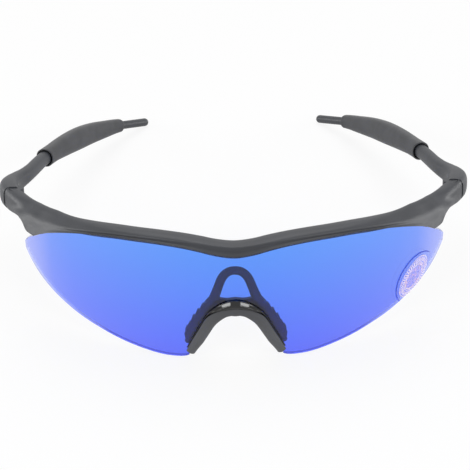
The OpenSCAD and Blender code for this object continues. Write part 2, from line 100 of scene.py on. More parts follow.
def unit(v):
    """Direction of v, also where v has next to no length."""
    return v / np.maximum(np.linalg.norm(v, axis=-1, keepdims=True), 1e-9)


def plan_r(h):
    return LENS_PLAN_R - LENS_RISE_R + np.sqrt(LENS_RISE_R ** 2 - h ** 2)


def plan_angle(across, h):
    return np.degrees(np.arcsin(across / plan_r(h)))


def shield(a, h, d):
    """Millimetres, as worn: plan angle a, height h over the middle line, depth d behind the face."""
    a, h, d = np.broadcast_arrays(np.asarray(a, float), np.asarray(h, float), np.asarray(d, float))
    up = h / LENS_RISE_R
    r = plan_r(h) - d * np.sqrt(1 - up * up)
    rise = h - d * up
    y = LENS_PLAN_R - r * np.cos(np.radians(a))
    return np.stack([r * np.sin(np.radians(a)), y * math.cos(LENS_TILT) - rise * math.sin(LENS_TILT),
                     y * math.sin(LENS_TILT) + rise * math.cos(LENS_TILT)], -1)


def edge_h(a):
    return LENS_BROW * along(EDGE_LINE, np.abs(a))[..., 0]


def hold(a):
    """1 where the groove grips the shield, down to 0 at the fin, where its edge runs free."""
    return 1 - ease(45, FIN_ANGLE, np.abs(a))


def lens_top_h(a):
    return edge_h(a) + GROOVE_BITE * hold(a)


def lens_low_h(a):
    return -LENS_DROP * along(LOWER_LINE, np.abs(a))[..., 0]


# The hinge joins what is drawn as worn to where the glasses lie on the table
HINGE_AT = np.array([64.7, 43.5, 13.9])
fold = next(j for j in frame["record"]["behaviour"]["joints"] if j["name"] == "left_fold")
lean = math.atan2(fold["axis"][1], fold["axis"][2])
TURN = np.array([[1, 0, 0], [0, math.cos(lean), math.sin(lean)], [0, -math.sin(lean), math.cos(lean)]])
SHIFT = np.array(fold["pos_m"]) * 1000 - TURN @ HINGE_AT


def laid(points):
    """Worn millimetres to metres on the table."""
    return (np.asarray(points) @ TURN.T + SHIFT) / 1000


def tube_faces(rows, ring, looped=False):
    """Quads between rings that follow each other; both ends are closed, or joined if looped."""
    faces = []
    for row in range(rows if looped else rows - 1):
        here, there = row * ring, (row + 1) % rows * ring
        faces += [(here + i, here + (i + 1) % ring, there + (i + 1) % ring, there + i) for i in range(ring)]
    if not looped:
        faces += [tuple(reversed(range(ring))), tuple(range((rows - 1) * ring, rows * ring))]
    return faces


def turn_outwards(piece):
    work = bmesh.new()
    work.from_mesh(piece.data)
    bmesh.ops.remove_doubles(work, verts=work.verts, dist=1e-7)
    bmesh.ops.recalc_face_normals(work, faces=work.faces)
    work.to_mesh(piece.data)
    work.free()


def smooth_over(piece, sharp=35):
    """Smooth shading, with edges that turn by more than sharp degrees kept hard."""
    piece.data.polygons.foreach_set("use_smooth", [True] * len(piece.data.polygons))
    piece.data.set_sharp_from_angle(angle=math.radians(sharp))


def mesh_piece(name, points, faces, sharp=35, marks=None):
    """A smooth mesh in metres, with its faces outwards; marks pick each face's material."""
    mesh = bpy.data.meshes.new(name)
    mesh.from_pydata([tuple(p) for p in points], [], faces)
    if marks is not None:
        mesh.polygons.foreach_set("material_index", marks)
    mesh.update()
    piece = bpy.data.objects.new(name, mesh)
    bpy.context.collection.objects.link(piece)
    turn_outwards(piece)
    smooth_over(piece, sharp)
    return piece


def shell(name, rings, sharp=35, marks=None, looped=False):
    """A closed skin over rings of points, given in millimetres as worn."""
    return mesh_piece(name, laid(rings.reshape(-1, 3)), tube_faces(*rings.shape[:2], looped), sharp, marks)


def linear(code):
    """Linear colour of an sRGB hex value."""
    parts = [int(code[i:i + 2], 16) / 255 for i in (1, 3, 5)]
    return tuple(c / 12.92 if c <= 0.04045 else ((c + 0.055) / 1.055) ** 2.4 for c in parts) + (1.0,)


def add(tree, kind, inputs=None, stops=(), **settings):
    """One node with its settings. Inputs are values or the sockets they link to; a Map Range's 1
    and 2 are its low and high, and 3 and 4 what it gives there, 0 and 1 where they are left out.
    Stops are a colour ramp's places and colours."""
    made = tree.nodes.new(kind)
    for name, value in settings.items():
        setattr(made, name, value)
    for key, value in (inputs or {}).items():
        if isinstance(value, bpy.types.NodeSocket):
            tree.links.new(value, made.inputs[key])
        else:
            made.inputs[key].default_value = value
    for _ in stops[2:]:
        made.color_ramp.elements.new(1.0)
    for i, (spot, colour) in enumerate(stops):
        made.color_ramp.elements[i].position = spot
        made.color_ramp.elements[i].color = colour
    return made


def new_material(name):
    material = bpy.data.materials.new(name)
    material.use_nodes = True
    material.node_tree.nodes.clear()
    return material, material.node_tree


def finish_with(material, piece):
    piece.data.materials.clear()
    piece.data.materials.append(material)


# Tinted polycarbonate: light passes through it blue, a little more violet low down; towards the two
# ends the colour is painted paler, to lilac, a painted reflection of the mirror coat where the tips
# slant away; polished, so it mirrors the white room faintly
lens_blue, tree = new_material("tinted_polycarbonate")
place = add(tree, "ShaderNodeTexCoord")
axes = add(tree, "ShaderNodeSeparateXYZ", {0: place.outputs["Object"]})
rise = add(tree, "ShaderNodeMapRange", {0: axes.outputs["Z"], 1: 0.002, 2: 0.038})
bands = add(tree, "ShaderNodeValToRGB", {0: rise.outputs[0]},
            stops=[(0.0, linear("#4B62FF")), (0.5, linear("#4F7FFF")), (1.0, linear("#4F96FF"))])
aside = add(tree, "ShaderNodeMath", {0: axes.outputs["X"]}, operation="ABSOLUTE")
outward = add(tree, "ShaderNodeMapRange", {0: aside.outputs[0], 1: 0.0, 2: 0.0625})
# Share of the way from the middle to the end, then share of pale lilac painted in as reflection
TIP_SHEEN_LINE = [(0.0, 0.045), (0.2, 0.07), (0.48, 0.12), (0.74, 0.17), (0.84, 0.24), (0.93, 0.6),
             (1.0, 0.78)]
# Painted reflection: the colour turns paler towards the ends, standing in for the mirror coat's stronger
# reflection where the tips slant away
tip_sheen = add(tree, "ShaderNodeValToRGB", {0: outward.outputs[0]},
           stops=[(spot, (v, v, v, 1)) for spot, v in TIP_SHEEN_LINE])
tint = add(tree, "ShaderNodeMix", {
    "Factor": tip_sheen.outputs[0], "A": bands.outputs[0], "B": linear("#B9BEFF")}, data_type="RGBA")
skin = add(tree, "ShaderNodeBsdfPrincipled", {
    "Base Color": tint.outputs["Result"], "Roughness": 0.02, "IOR": 1.5, "Specular IOR Level": 0.3,
    "Transmission Weight": 1.0})
add(tree, "ShaderNodeOutputMaterial", {"Surface": skin.outputs[0]})

# Cut edge of the same plastic, tumbled smooth: it scatters the light led to it, so it looks
# frosted, pale lilac at the two tips and a deeper blue towards the nose; the fine marks of the
# tumbling are drawn at 0.4 mm, so that they show
frosted, tree = new_material("frosted_polycarbonate_edge")
place = add(tree, "ShaderNodeTexCoord")
tooth = add(tree, "ShaderNodeTexNoise", {"Vector": place.outputs["Object"], "Scale": 2500.0})
tone = add(tree, "ShaderNodeValToRGB", {0: tooth.outputs["Fac"]},
           stops=[(0.0, linear("#D8DCFF")), (1.0, linear("#EEF0FF"))])
axes = add(tree, "ShaderNodeSeparateXYZ", {0: place.outputs["Object"]})
aside = add(tree, "ShaderNodeMath", {0: axes.outputs["X"]}, operation="ABSOLUTE")
outward = add(tree, "ShaderNodeMapRange", {0: aside.outputs[0], 1: 0.036, 2: 0.056})
tint = add(tree, "ShaderNodeMix", {
    "Factor": outward.outputs[0], "A": linear("#2E38B8"), "B": tone.outputs[0]}, data_type="RGBA")
skin = add(tree, "ShaderNodeBsdfPrincipled", {
    "Base Color": tint.outputs["Result"], "Roughness": 0.3, "IOR": 1.15, "Transmission Weight": 1.0})
add(tree, "ShaderNodeOutputMaterial", {"Surface": skin.outputs[0]})

# Outline of the notch for the nosepiece: place along it, share of half width, share of height,
# width of the strip that the nosepiece covers
NOSE_W = 14.3
NOSE_H = 18.4
NOSE_TOP = 0.8
NOSE_LINE = [(-0.12, -0.1, 0.006, 5.15), (0, 0, 0, 5.2), (0.12, 0.1, 0.006, 5.15),
             (0.25, 0.22, 0.036, 4.9), (0.38, 0.37, 0.11, 4.45), (0.5, 0.52, 0.225, 4.05),
             (0.62, 0.63, 0.36, 3.7), (0.78, 0.76, 0.577, 3.5), (0.89, 0.87, 0.76, 3.45),
             (1.001, 1, 1, 3.3)]


def nose_spot(s):
    row = along(NOSE_LINE, s)
    return np.stack([NOSE_W * row[..., 0], -NOSE_TOP - NOSE_H * row[..., 1]], -1)


def nose_strip(s):
    return along(NOSE_LINE, s)[..., 2]


def nose_at(s, q):
    """Point q millimetres inside the outline at s, as (across, height) on the shield."""
    way = unit(nose_spot(np.asarray(s) + 0.02) - nose_spot(np.asarray(s) - 0.02))
    inward = np.stack([way[..., 1], -way[..., 0]], -1)
    return nose_spot(s) + np.asarray(q)[..., None] * inward


def notch_q(s):
    """How far inside the outline the shield's notch is cut."""
    return 0.36 * nose_strip(s)


# Stations across half the shield, in degrees: round the notch, over the turn beside it, along the
# lower edge, and closer together over the end that runs free
NOTCH_SIDE = 0.35
EDGE_TURN = 2.7
notch_s = np.linspace(0, 1, 45)
notch = nose_at(notch_s, notch_q(notch_s))
notch_a = plan_angle(notch[:, 0], notch[:, 1])
side_from = notch_a[-1] + NOTCH_SIDE
side_a = np.concatenate([
    side_from + np.linspace(0, EDGE_TURN, 14), np.linspace(side_from + EDGE_TURN, FIN_ANGLE, 80)[1:],
    np.linspace(FIN_ANGLE, LENS_WRAP, 26)[1:]])
half_a = np.concatenate([notch_a, side_a])
half_low = np.concatenate([notch[:, 1], lens_low_h(side_a)])
lens_a = np.concatenate([-half_a[:0:-1], half_a])
lens_low = np.concatenate([half_low[:0:-1], half_low])
lens_high = lens_top_h(lens_a)

# Each ring goes up the outer face, over the top rim, down the inner face and round the lower rim;
# a rim's rounding is given as share of the thickness, then share of RIM short of the full height
CLIMB_STEPS = 32
RIM_LINE = np.array([(0.1, 0.5), (0.3, 0.15), (0.5, 0.0), (0.7, 0.15), (0.9, 0.5)])
rim_d, rim_h = (RIM_LINE * (LENS_T, RIM)).T
climb = np.linspace(0, 1, CLIMB_STEPS + 1)
depths = np.concatenate([0 * climb, rim_d, 0 * climb + LENS_T, LENS_T - rim_d])
lens_rings = []
for a, low, high in zip(lens_a, lens_low, lens_high):
    lift, drop = low + RIM, high - RIM
    heights = np.concatenate([mix(lift, drop, climb), high - rim_h, mix(drop, lift, climb), low + rim_h])
    lens_rings.append(shield(a, heights, depths))
# Material 0 on the two faces, 1 on the frosted rims and the closed ends
ring_marks = 2 * ([0] * CLIMB_STEPS + [1] * (len(RIM_LINE) + 1))
lens = shell("shield_lens", np.array(lens_rings), marks=ring_marks * (len(lens_rings) - 1) + [1, 1])
for material in (lens_blue, frosted):
    lens.data.materials.append(material)
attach(lens, "front")
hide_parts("lens")


# Section: Brow bar
# The half frame, moulded in dark grey nylon with a fine matt grain. A lip and a wall hold the
# shield's upper edge between them; each end deepens to a fin and narrows back to the hinge.

BAR_DEPTH = 4.9
BAR_LIP_T = 0.9
BAR_RISE = 3.2
BAR_END_DEEP = 0.7
JOINT_W = 5.4
JOINT_H = 7.2
JOINT_P = 3
JOINT_INSIDE = 1.4
KNUCKLE_R = 2.2
TONGUE_H = 2.8
EAR_H = 1.7
HINGE_PLAY = 0.15
SCREW_D = 1.6
SCREW_HEAD_D = 2.8
SCREW_FIT = 0.05
JOINT_X = HINGE_AT[0] - JOINT_INSIDE + JOINT_W / 2

# Plan angles: the bar follows the shield's edge up to the first and its own end lines from the
# second on, and from the third to the fourth its section turns into the oval face at the hinge
END_FROM, END_TO = 50, 54
BLEND_FROM, BLEND_TO = 56, 66
# Millimetres from the shield's visible edge up to the bar's crest, then to the crease in front
CREST_LINE = [(-5, BAR_RISE - 0.25, BAR_RISE - 0.55), (0, BAR_RISE, BAR_RISE - 0.2),
              (5, BAR_RISE - 0.25, BAR_RISE - 0.55), (12, BAR_RISE - 0.7, BAR_RISE - 1.6),
              (20, BAR_RISE - 0.95, BAR_RISE - 2), (28, 2.25, 1.0), (34, 2.55, 0.95), (40, 3.35, 1.35),
              (45, 4.9, 2.5), (50, 7.5, 4.4), (54, 9.8, 7.5)]
# Plan angle, then heights of the crest, the crease and the underside, from the fin outwards
END_LINE = [(50, 12.8, 9.7, 5.3), (53, 12.05, 9.5, 5.25), (54, 11.8, 9.3, 5.85), (55, 11.6, 9.1, 6.45),
            (56.2, 11.35, 8.8, 6.8), (57.5, 11.1, 8.5, 7.1), (61, 10.6, 7.8, 5.8), (65, 9.8, 6.7, 4.3)]


def bar_ring(a):
    """The bar's section at plan angle a, from the front lip up over the crest, down the back and
    round the groove. Out from the middle the front of the crest slopes back to a ridge, with a
    hollow below it, and the lip flares forward; near the hinge it all turns plain and round."""
    edge_row, end_row = along(CREST_LINE, min(a, END_TO)), along(END_LINE, max(a, END_FROM))
    past_edge = ease(END_FROM, END_TO, a)
    low = end_row[2] if a > END_FROM else edge_h(a)
    top = mix(edge_h(a) + edge_row[0], end_row[0], past_edge)
    crease = mix(edge_h(a) + edge_row[1], end_row[1], past_edge)
    end, lip = ease(38, END_TO, a), GROOVE_GAP + BAR_LIP_T
    # Back: its lower edge, the groove's roof and rear wall, and the whole depth
    rear = low - mix(1.7, 0.5, ease(30, 46, a))
    roof = low + GROOVE_BITE * hold(a) + GROOVE_GAP * (2 - hold(a))
    deep, depth = LENS_T + GROOVE_GAP, BAR_DEPTH + BAR_END_DEEP * end * (1 - ease(55, 60, a))
    # Front: how far the lip flares, how far the crest slopes, and how round the plain end is
    flare = 1.5 * ease(30, END_FROM, a) * (1 - 0.75 * ease(52.5, 56.5, a))
    sloped = 1 - ease(56.5, 62, a)
    slant, plump = ease(24, 42, a) * sloped, end * (1 - sloped)
    front = -lip - 0.1 + mix(0.85 * end, 1.2 * ease(30, END_TO, a), sloped)
    ridge = 2.2 + mix(0.7 * end, 1.8 * ease(30, END_FROM, a), sloped)
    return shield(a, *np.array([
        (low, -lip - 0.15 - 0.57 * flare), (mix(low, crease, 0.4), -lip + 0.2 - 0.23 * flare),
        (crease, front),
        (mix(crease, top, 0.5), mix(-lip + 0.3 + 0.85 * plump, mix(front, ridge, 0.38), slant)),
        (mix(crease, top, 0.86 + 0.06 * slant), mix(0.3 + 0.95 * plump, mix(front, ridge, 0.75), slant)),
        (top, ridge),
        (top - 0.35, depth - 0.9), (top - 1.2, depth), (mix(rear, top - 1.2, 0.35), depth),
        (rear, depth - 0.7), (rear + 0.1 * hold(a), deep), (roof, deep), (roof, -GROOVE_GAP),
        (low, -GROOVE_GAP)]).T)


def oval(w, h, q, p):
    """Rounded outline of half sizes w and h at the angles q, more square as p grows."""
    c, s = np.cos(np.radians(q)), np.sin(np.radians(q))
    return np.stack([w * np.sign(c) * np.abs(c) ** (2 / p), h * np.sign(s) * np.abs(s) ** (2 / p)], -1)


def rounded(rings, corners, steps=6, nick=0.14):
    """Smooth closed lines through rings of points; at the corners they turn in a small radius."""
    rings = np.asarray(rings, float)
    count = rings.shape[1]
    line = []
    for i in range(count):
        before, here, there, after = (rings[:, (i + k) % count] for k in (-1, 0, 1, 2))
        from_corner, to_corner = i in corners, (i + 1) % count in corners
        span, past = there - here, here - before
        reach, past_reach = (np.linalg.norm(v, axis=-1, keepdims=True) for v in (span, past))
        leave = span if from_corner else unit(unit(span) + unit(past)) * reach
        arrive = span if to_corner else unit(unit(after - there) + unit(span)) * reach
        # A nick takes at most 0.3 of a side, and its middle point rounds the corner
        cut = np.minimum(nick / np.maximum(reach, 1e-9), 0.3)
        start = cut if from_corner else 0 * cut
        end = 1 - cut if to_corner else 1 + 0 * cut
        if from_corner:
            first = here - unit(past) * np.minimum(nick, 0.3 * past_reach)
            line.append(0.25 * first + 0.5 * here + 0.25 * (here + span * cut))
        for share in np.linspace(0, 1, steps + 1)[:steps + to_corner]:
            line.append(bend(here, there, leave, arrive, start + (end - start) * share))
    return np.stack(line, 1)


# Where each point of the bar's section comes to lie round the oval face, in degrees
JOINT_ANGLES = [-52, -28, -6, 20, 46, 84, 118, 146, 178, 218, 240, 258, 276, 298]
joint = oval(JOINT_W / 2, JOINT_H / 2, JOINT_ANGLES, JOINT_P)
joint_face = np.stack([JOINT_X + joint[:, 0], 0 * joint[:, 0] + HINGE_AT[1], HINGE_AT[2] + joint[:, 1]], -1)
bar_a = np.concatenate([np.arange(0, 48, 1.0), np.arange(48, END_TO, 0.5),
                        np.arange(END_TO, BLEND_FROM + 0.01, 0.2)])
half_bar = [bar_ring(a) for a in bar_a]
for t in np.linspace(0, 1, 31)[1:]:
    a = min(mix(BLEND_FROM, BLEND_TO, t), END_LINE[-1][0])
    half_bar.append(mix(bar_ring(a), joint_face, ease(0, 1, t)))
half_bar = np.array(half_bar)
whole_bar = np.concatenate([half_bar[:0:-1] * (-1, 1, 1), half_bar])
# Sharp corners: the lip's lower edge and the four of the groove
bar = shell("brow_bar", rounded(whole_bar, corners={0, 10, 11, 12, 13}))


def drum(name, side, radius, low, high, steps=64):
    """A round solid on a hinge axis between two heights about the hinge's middle, in millimetres."""
    turn = np.radians(np.arange(steps) * 360 / steps)
    circle = np.stack([radius * np.cos(turn), radius * np.sin(turn), 0 * turn], -1)
    return shell(name, np.stack([HINGE_AT * (side, 1, 1) + circle + (0, 0, z) for z in (low, high)]))


def settle(piece):
    """Makes what the modifiers show the piece's own plain mesh."""
    result = bpy.data.meshes.new_from_object(piece.evaluated_get(bpy.context.evaluated_depsgraph_get()))
    piece.modifiers.clear()
    piece.data = result


def carve(piece, tool, operation):
    """Joins or cuts with another solid, which is used up."""
    step = piece.modifiers.new("step", "BOOLEAN")
    step.operation, step.object, step.solver = operation, tool, "MANIFOLD"
    settle(piece)
    bpy.data.objects.remove(tool)


for side in (1, -1):
    carve(bar, drum("pocket", side, KNUCKLE_R + HINGE_PLAY, TONGUE_H / 2, JOINT_H), "DIFFERENCE")
    carve(bar, drum("pocket", side, KNUCKLE_R + HINGE_PLAY, -JOINT_H, -TONGUE_H / 2), "DIFFERENCE")
    carve(bar, drum("tongue", side, KNUCKLE_R, -TONGUE_H / 2, TONGUE_H / 2), "UNION")
    carve(bar, drum("screw_hole", side, SCREW_D / 2 + SCREW_FIT, -JOINT_H, JOINT_H), "DIFFERENCE")
smooth_over(bar)

# Moulded nylon 12: spark-eroded mould skin, which scatters light softly and shows no sharp
# reflection; its 0.1 mm grain is drawn at 0.35 mm, the finest that a step away can show
nylon_grey, tree = new_material("moulded_nylon")
place = add(tree, "ShaderNodeTexCoord")
grain = add(tree, "ShaderNodeTexNoise", {
    "Vector": place.outputs["Object"], "Scale": 2850.0, "Detail": 2.0, "Roughness": 0.6})
cloud = add(tree, "ShaderNodeTexNoise", {"Vector": place.outputs["Object"], "Scale": 90.0, "Detail": 3.0})
tone = add(tree, "ShaderNodeValToRGB", {0: cloud.outputs["Fac"]},
           stops=[(0.3, linear("#26282D")), (0.7, linear("#2E3036"))])
gloss = add(tree, "ShaderNodeMapRange", {0: grain.outputs["Fac"], 1: 0.3, 2: 0.7, 3: 0.43, 4: 0.51})
relief = add(tree, "ShaderNodeBump", {"Height": grain.outputs["Fac"], "Strength": 0.12, "Distance": 0.0001})
skin = add(tree, "ShaderNodeBsdfPrincipled", {
    "Base Color": tone.outputs[0], "Roughness": gloss.outputs[0], "IOR": 1.52,
    "Normal": relief.outputs[0]})
add(tree, "ShaderNodeOutputMaterial", {"Surface": skin.outputs[0]})
finish_with(nylon_grey, bar)
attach(bar, "front")
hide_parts("brow_frame")


# Section: Arms
# Two mirror-image arms in the same nylon, each moulded in one with its two hinge ears. An arm
# swells behind the hinge, slims to a stem for the rubber sock and ends in a round rod.

ARM_L = 86.0
ARM_TUCK = 24.8
ARM_FALL = 7.5
ROD_D = 2.8
ROD_L = 14.5
SOCK_START = 36.5
SOCK_OVER = 0.6
NECK_L = 0.3
SCREW_HEAD_H = 0.8
SCREW_SUNK = 0.15
EAR_ROOF = 0.5
# Millimetres behind the hinge, then out, up, half width and half height
ARM_LINE = [(HINGE_PLAY, JOINT_X - HINGE_AT[0], 0, JOINT_W / 2, JOINT_H / 2), (3.5, 2.5, 0, 3.0, 3.6),
            (7.5, 3.2, -0.1, 2.95, 3.5), (11.5, 2.9, -0.3, 2.7, 3.2), (15.5, 1.7, -0.4, 2.45, 2.75),
            (19.5, 0.0, -0.4, 2.25, 2.4), (24.4, -1.5, -0.5, 2.15, 2.25), (29.5, -2.7, -0.6, 2.15, 2.25),
            (35, -4.0, -0.8, 2.15, 2.2), (0.526 * ARM_L, -0.29 * ARM_TUCK, -0.2 * ARM_FALL, 1.9, 2.1),
            (0.667 * ARM_L, -0.456 * ARM_TUCK, -0.373 * ARM_FALL, 1.7, 1.9),
            (0.802 * ARM_L, -0.641 * ARM_TUCK, -0.587 * ARM_FALL, 1.5, 1.7),
            (0.919 * ARM_L, -0.839 * ARM_TUCK, -0.827 * ARM_FALL, 1.3, 1.4),
            (ARM_L, -ARM_TUCK, -ARM_FALL, ROD_D / 2 - 0.1, ROD_D / 2 - 0.1),
            (1.145 * ARM_L, -1.41 * ARM_TUCK, -1.4 * ARM_FALL, ROD_D / 2 - 0.1, ROD_D / 2 - 0.1)]


def arm_point(v):
    row = along(ARM_LINE, v)
    return HINGE_AT + np.stack([row[..., 0], np.asarray(v, float), row[..., 1]], -1)


def arm_ring(v, w, h, p, steps=48):
    """Ring round the arm's line at v, of half sizes w and h."""
    way = np.array([0.0, 1.0, 0.0]) if v < 0.5 else unit(arm_point(v + 0.4) - arm_point(v - 0.4))
    sideways = unit(np.array([way[1], -way[0], 0]))
    outline = oval(w, h, np.arange(steps) * 360 / steps, p)
    return arm_point(v) + outline[:, :1] * sideways + outline[:, 1:] * np.cross(sideways, way)


def stem_ring(v, grow=0.0):
    row = along(ARM_LINE, v)
    return arm_ring(v, row[2] + grow, row[3] + grow, mix(JOINT_P, 2.1, ease(0, SOCK_START, v)))


rod_way = unit(arm_point(ARM_L * 1.1) - arm_point(ARM_L))
rod_from = arm_point(ARM_L) + rod_way * (SOCK_OVER / rod_way[1] + NECK_L)
rod_long = ROD_L - NECK_L


def rod_rings(steps=48):
    """The round end rod with a ball tip, as rings along its own line."""
    sideways = unit(np.cross(rod_way, (0, 0, 1)))
    upward = np.cross(sideways, rod_way)
    turn = np.radians(np.arange(steps) * 360 / steps)
    circle = np.cos(turn)[:, None] * sideways + np.sin(turn)[:, None] * upward
    r, bevel = ROD_D / 2, 0.08
    spots = [(0, r - bevel), (bevel, r)] + [(l, r) for l in np.linspace(0.6, rod_long - r, 12)]
    spots += [(rod_long - r + r * math.sin(q), r * math.cos(q))
              for q in np.radians([12, 25, 38, 50, 62, 73, 82, 87])]
    return np.array([rod_from + rod_way * l + size * circle for l, size in spots])


# The arm starts 0.03 mm behind the bar, so that the seam at the hinge stays fine
stations = np.concatenate([[0.03, 0.06], np.arange(0.5, 35, 0.6), np.arange(35, ARM_L + 2, 1.0)])
stem = np.array([stem_ring(v, -0.02 if v < 0.05 else 0.0) for v in stations])
ear_in = TONGUE_H / 2 + HINGE_PLAY
ear_out = ear_in + EAR_H
head_z = -ear_out + SCREW_HEAD_H + SCREW_SUNK
for side, name in ((1, "left"), (-1, "right")):
    arm = shell("arm_" + name, stem * (side, 1, 1))
    carve(arm, drum("slot", side, KNUCKLE_R + HINGE_PLAY, -ear_in, ear_in), "DIFFERENCE")
    carve(arm, drum("ear", side, KNUCKLE_R, ear_in, ear_out), "UNION")
    carve(arm, drum("ear", side, KNUCKLE_R, -ear_out, -ear_in), "UNION")
    carve(arm, shell("rod", rod_rings() * (side, 1, 1)), "UNION")
    carve(arm, drum("bore", side, SCREW_D / 2 + SCREW_FIT, -JOINT_H, ear_out - EAR_ROOF), "DIFFERENCE")
    carve(arm, drum("bore", side, SCREW_HEAD_D / 2 + SCREW_FIT, -JOINT_H, head_z + SCREW_FIT), "DIFFERENCE")
    smooth_over(arm)
    finish_with(nylon_grey, arm)
    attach(arm, name + "_arm")
    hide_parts("temple_" + name)


# Section: Hinge screws
# A plain slotted steel screw in each hinge, put in from below with its head sunk in the lower
# ear. It is machined and bright, and almost nothing of it shows.

# Turned steel: a mirror broken by the tool's fine marks, which are drawn at a quarter millimetre
screw_steel, tree = new_material("machined_steel")
place = add(tree, "ShaderNodeTexCoord")
cuts = add(tree, "ShaderNodeTexNoise", {"Vector": place.outputs["Object"], "Scale": 4000.0})
gloss = add(tree, "ShaderNodeMapRange", {0: cuts.outputs["Fac"], 1: 0.3, 2: 0.7, 3: 0.24, 4: 0.38})
skin = add(tree, "ShaderNodeBsdfPrincipled", {
    "Base Color": linear("#C2C2C4"), "Metallic": 1.0, "Roughness": gloss.outputs[0]})
add(tree, "ShaderNodeOutputMaterial", {"Surface": skin.outputs[0]})
for name in ("hinge_screw_left", "hinge_screw_right"):
    finish_with(screw_steel, frame["nodes"][name])


# Section: Rubber socks
# A soft sleeve moulded in satin grey rubber and pushed up each stem. It opens a little at its
# mouth, swells to a blade that lies behind the ear and stops in a small lip round the rod.

SOCK_W = 6.2
SOCK_H = 7.4
SOCK_GAP = 0.12
SOCK_WALL = 0.75
SOCK_ROUND = 0.14
SOCK_FLARE = 0.35
SOCK_P = 2.3
SOCK_LINE = [(0, 0.9, 0.69), (0.12, 0.93, 0.78), (0.3, 0.98, 0.92), (0.5, 1, 1), (0.7, 0.92, 0.92),
             (0.87, 0.8, 0.76), (0.96, 0.74, 0.66), (1.001, 0.71, 0.61)]
sock_end = ARM_L + SOCK_OVER

# Soft-touch rubber: a powdery skin with hardly any shine, a shade cooler than the nylon, with
# faint moulding flow; its 0.2 mm tooth is drawn at 0.4 mm so that it shows at all
sock_rubber, tree = new_material("soft_touch_rubber")
place = add(tree, "ShaderNodeTexCoord")
tooth = add(tree, "ShaderNodeTexNoise", {"Vector": place.outputs["Object"], "Scale": 2500.0, "Detail": 3.0})
flow = add(tree, "ShaderNodeTexNoise", {"Vector": place.outputs["Object"], "Scale": 230.0, "Detail": 5.0})
tone = add(tree, "ShaderNodeValToRGB", {0: flow.outputs["Fac"]},
           stops=[(0.28, linear("#242528")), (0.72, linear("#35363A"))])
relief = add(tree, "ShaderNodeBump", {
    "Height": tooth.outputs["Fac"], "Strength": 0.25, "Distance": 0.00015})
skin = add(tree, "ShaderNodeBsdfPrincipled", {
    "Base Color": tone.outputs[0], "Roughness": 0.68, "IOR": 1.5, "Sheen Weight": 0.15,
    "Sheen Roughness": 0.5, "Normal": relief.outputs[0]})
add(tree, "ShaderNodeOutputMaterial", {"Surface": skin.outputs[0]})

# Up the outside and back down the bore, which is wider over the mouth's first few per cent
outside, bore = [], []
for t in np.concatenate([[0, 0.004, 0.012, 0.03], np.linspace(0.05, 0.985, 52), [0.994, 1.0]]):
    v = mix(SOCK_START, sock_end, t)
    stem_size, size = along(ARM_LINE, v)[2:], along(SOCK_LINE, t)
    rounding = SOCK_ROUND if t in (0, 1) else 0.0
    outside.append(arm_ring(v, max(SOCK_W * size[0] / 2, stem_size[0] + SOCK_WALL) - rounding,
                            max(SOCK_H * size[1] / 2, stem_size[1] + SOCK_WALL) - rounding, SOCK_P))
    bore.append(stem_ring(v, SOCK_GAP + SOCK_FLARE * (1 - ease(0, 0.03, t))))
sleeve = np.array(outside + bore[::-1])
for side, name in ((1, "left"), (-1, "right")):
    sock = shell("sock_" + name, sleeve * (side, 1, 1), sharp=50, looped=True)
    finish_with(sock_rubber, sock)
    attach(sock, name + "_arm")
    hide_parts("ear_sock_" + name)


# Section: Nosepiece
# Two parts on the edge of the notch: a hard gloss black channel that clips on the shield, and a
# soft grey piece hooked round it, with pads and stepped wings behind and a loop standing up.

BRACKET_T = 0.45
BRACKET_BULGE = 0.85
PAD_DEPTH = 8.6
PAD_T = 2.0
WING_IN = 0.2
LOOP_TOP = 8.9
LOOP_W = 2.6
LOOP_END = 1.12
LEG_END = 0.985
REAR_0 = LENS_T + GROOVE_GAP
REAR_1 = REAR_0 + BRACKET_T
WING_0 = REAR_1 + 0.1
WING_1 = WING_0 + 1.1
# Place along the notch, then how far the wing behind the shield reaches past its outline
WING_LINE = [(-0.12, -0.65), (0, -0.6), (0.12, -0.65), (0.25, -0.25), (0.38, 1.6), (0.5, 2.05),
             (0.62, 2.2), (0.78, 2.55), (0.89, 2.6), (1.001, 0.8)]


def crown(s):
    """1 over the nose, where the clip swells forward, down to 0 on the two legs."""
    return 1 - ease(0.36, 0.56, abs(s))


def cover(s):
    """How far inside the outline the soft band starts; under the crown it leaves the clip bare."""
    bare = notch_q(abs(s)) + GROOVE_GAP + BRACKET_T + 0.13
    return mix(0.3, bare, 1 - ease(0.22, 0.62, abs(s)))


def nose_ring(s, spots):
    """Points given as (q inside the outline, depth behind the face) on the section at s."""
    q, d = np.array(spots, float).T
    across, h = nose_at(np.full(len(q), abs(s)), q).T
    return shield(plan_angle(across, h), h, d) * (-1 if s < 0 else 1, 1, 1)


def bracket_ring(s):
    """The clip's section: round the shield's cut edge, then over its front, which has one flat
    facet from just off the shield up to its ridge and drops steeply from there."""
    flat = -GROOVE_GAP - BRACKET_T * 0.8
    front = flat - BRACKET_BULGE * crown(s)
    q0 = notch_q(abs(s)) + GROOVE_GAP
    q1, rear = q0 + BRACKET_T, mix(0.2, 0.7, crown(s))
    step = min(cover(s) - 0.08, q1)
    inner = max(step, q1 - 0.02) if step > q1 - 0.1 else step + 0.04
    facet = [(u * step, mix(flat, front, 2.26 * u - 0.04)) for u in (0.45, 0.34, 0.2, 0.07)]
    return nose_ring(s, [
        (0, -GROOVE_GAP), (q0, -GROOVE_GAP), (q0, REAR_0), (rear, REAR_0), (rear, REAR_1), (q1, REAR_1),
        (q1, flat), (inner, flat), (step - 0.05 * crown(s), mix(flat, front, 0.5)),
        (0.8 * step, mix(flat, front, 0.9)), (0.54 * step, front)] + facet + [(0, flat)])


clip_rings = [bracket_ring(s) for s in np.linspace(-LEG_END, LEG_END, 141)]
bracket = shell("nose_clip", rounded(clip_rings, corners=set(range(8)), steps=5, nick=0.06), sharp=50)

